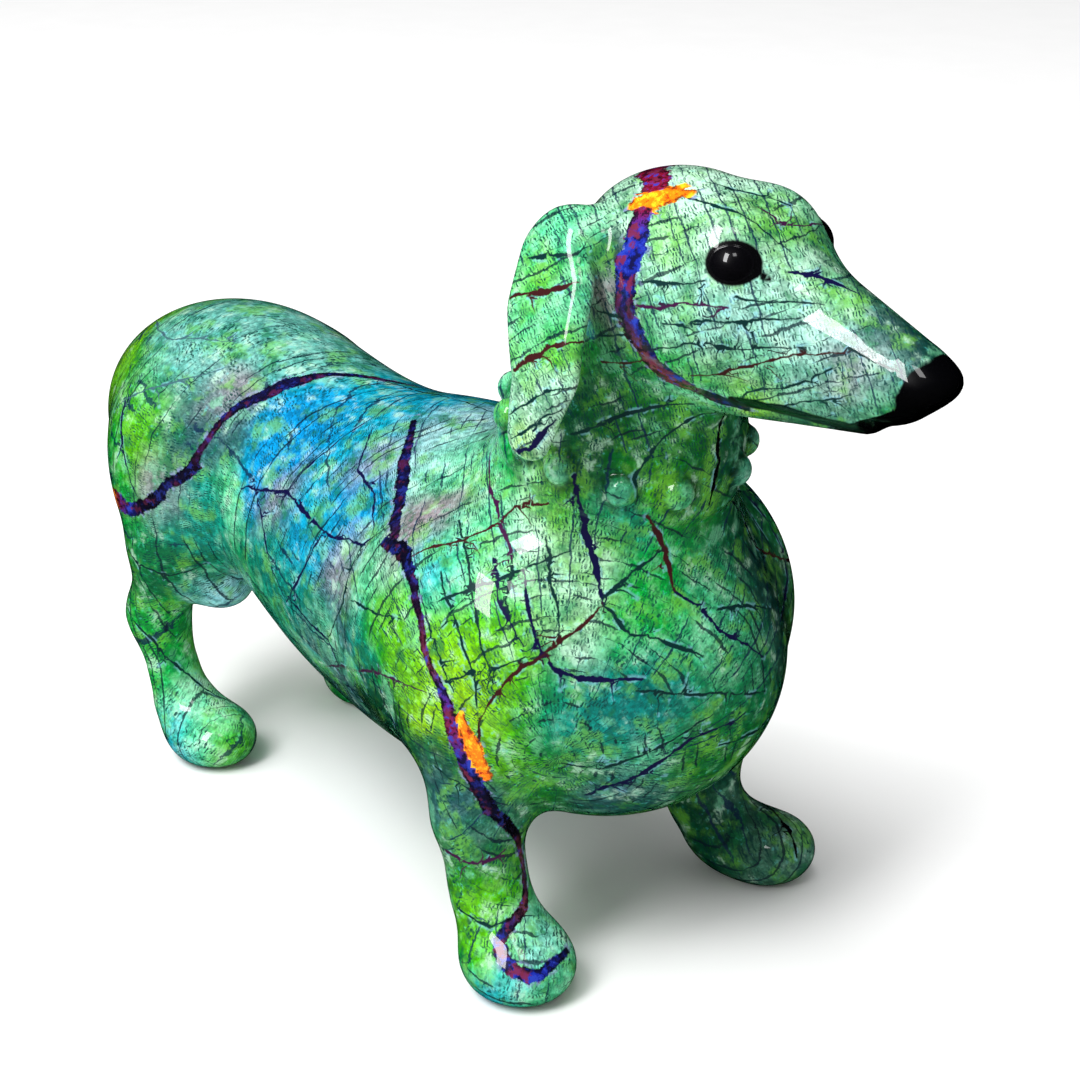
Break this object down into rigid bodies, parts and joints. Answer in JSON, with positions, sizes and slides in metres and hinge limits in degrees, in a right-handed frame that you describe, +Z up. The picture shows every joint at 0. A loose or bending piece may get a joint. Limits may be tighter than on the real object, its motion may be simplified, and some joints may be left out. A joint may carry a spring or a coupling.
{
  "type": "ceramic dog figurine",
  "caption": "Standing glazed ceramic dachshund with drooping ears, a studded collar and a cracked end-grain wood print in green, teal and blue.",
  "frame": {"origin": "on the ground, under the middle of the figurine's bounding box", "axes": "+X towards the dog's nose, +Y to the dog's left, +Z up"},
  "size_m": [0.3162, 0.112, 0.1999],
  "materials": {
    "printed_glaze": "high-gloss clear glaze over a printed pattern of cracked end-grain wood in mint, green, teal and blue, with navy, crimson and orange cracks; black nose",
    "black_glaze": "high-gloss black"
  },
  "bodies": {
    "root": {"body_casting": "printed_glaze", "head_casting": "printed_glaze", "front_right_leg": "printed_glaze", "front_left_leg": "printed_glaze", "hind_right_leg": "printed_glaze", "hind_left_leg": "printed_glaze", "right_ear": "printed_glaze", "left_ear": "printed_glaze", "tail": "printed_glaze", "collar_band": "printed_glaze", "collar_stud_01": "printed_glaze", "collar_stud_02": "printed_glaze", "collar_stud_03": "printed_glaze", "collar_stud_04": "printed_glaze", "collar_stud_05": "printed_glaze", "collar_stud_06": "printed_glaze", "collar_stud_07": "printed_glaze", "collar_stud_08": "printed_glaze", "collar_stud_09": "printed_glaze", "collar_stud_10": "printed_glaze", "collar_stud_11": "printed_glaze", "collar_stud_12": "printed_glaze", "collar_stud_13": "printed_glaze", "right_eye": "black_glaze", "left_eye": "black_glaze"}
  },
  "joints": []
}
